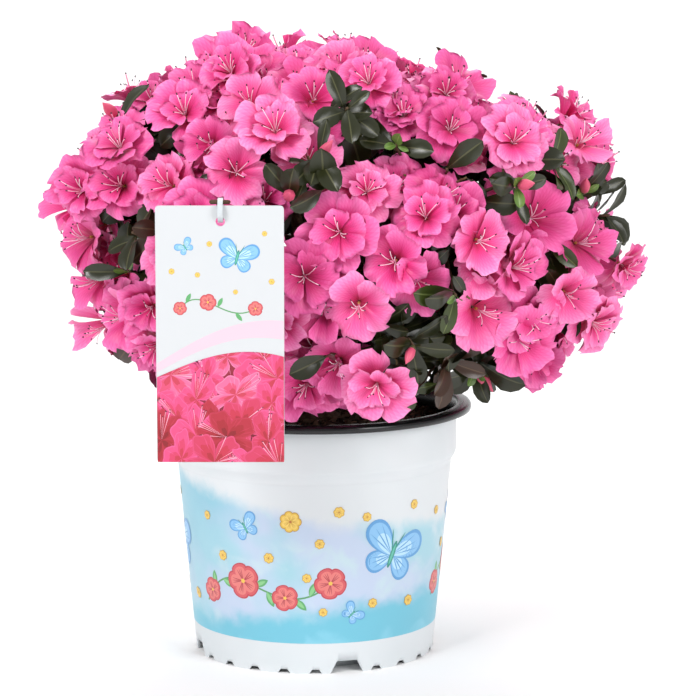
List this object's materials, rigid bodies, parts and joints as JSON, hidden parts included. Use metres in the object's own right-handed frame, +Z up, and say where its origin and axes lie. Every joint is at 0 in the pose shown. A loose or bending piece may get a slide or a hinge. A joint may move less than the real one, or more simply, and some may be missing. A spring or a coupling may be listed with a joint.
{
  "type": "azalea shrub in a pot",
  "caption": "Low evergreen azalea shrub covered in pink double blossom, short stem and tapering boughs, in a round tapered pot with a rolled rim and a hanging picture tag.",
  "frame": {"origin": "centre of the pot's flat underside, at ground level", "axes": "+Z up along the pot's axis; -Y towards the front, where the tag hangs; +X to the right as seen from the front"},
  "size_m": [0.3696, 0.3361, 0.3961],
  "materials": {
    "pot_shell": "satin white moulded plastic with a printed wash",
    "pot_lining": "smooth dark plastic",
    "compost": "rough, loose, dark bark and peat",
    "bark": "rough bark",
    "foliage": "soft matt petals and glossy leaves",
    "tag_card": "printed satin sheet",
    "tie_plastic": "satin"
  },
  "bodies": {
    "root": {"pot": "pot_shell", "pot_rim": "pot_lining", "soil": "compost", "trunk": "bark", "bough_skirt_front": "bark", "bough_skirt_right_front": "bark", "bough_skirt_right_back": "bark", "bough_skirt_back": "bark", "bough_skirt_left_back": "bark", "bough_skirt_left_front": "bark", "bough_waist_front_right": "bark", "bough_waist_right": "bark", "bough_waist_back_right": "bark", "bough_waist_back_left": "bark", "bough_waist_left": "bark", "bough_waist_front_left": "bark", "bough_shoulder_front": "bark", "bough_shoulder_right": "bark", "bough_shoulder_back_right": "bark", "bough_shoulder_back_left": "bark", "bough_shoulder_left": "bark", "bough_top_middle": "bark", "mass_skirt_front": "foliage", "mass_skirt_right_front": "foliage", "mass_skirt_right_back": "foliage", "mass_skirt_back": "foliage", "mass_skirt_left_back": "foliage", "mass_skirt_left_front": "foliage", "mass_waist_front_right": "foliage", "mass_waist_right": "foliage", "mass_waist_back_right": "foliage", "mass_waist_back_left": "foliage", "mass_waist_left": "foliage", "mass_waist_front_left": "foliage", "mass_shoulder_front": "foliage", "mass_shoulder_right": "foliage", "mass_shoulder_back_right": "foliage", "mass_shoulder_back_left": "foliage", "mass_shoulder_left": "foliage", "mass_top_middle": "foliage", "tag": "tag_card", "tag_tie": "tie_plastic"}
  },
  "joints": []
}
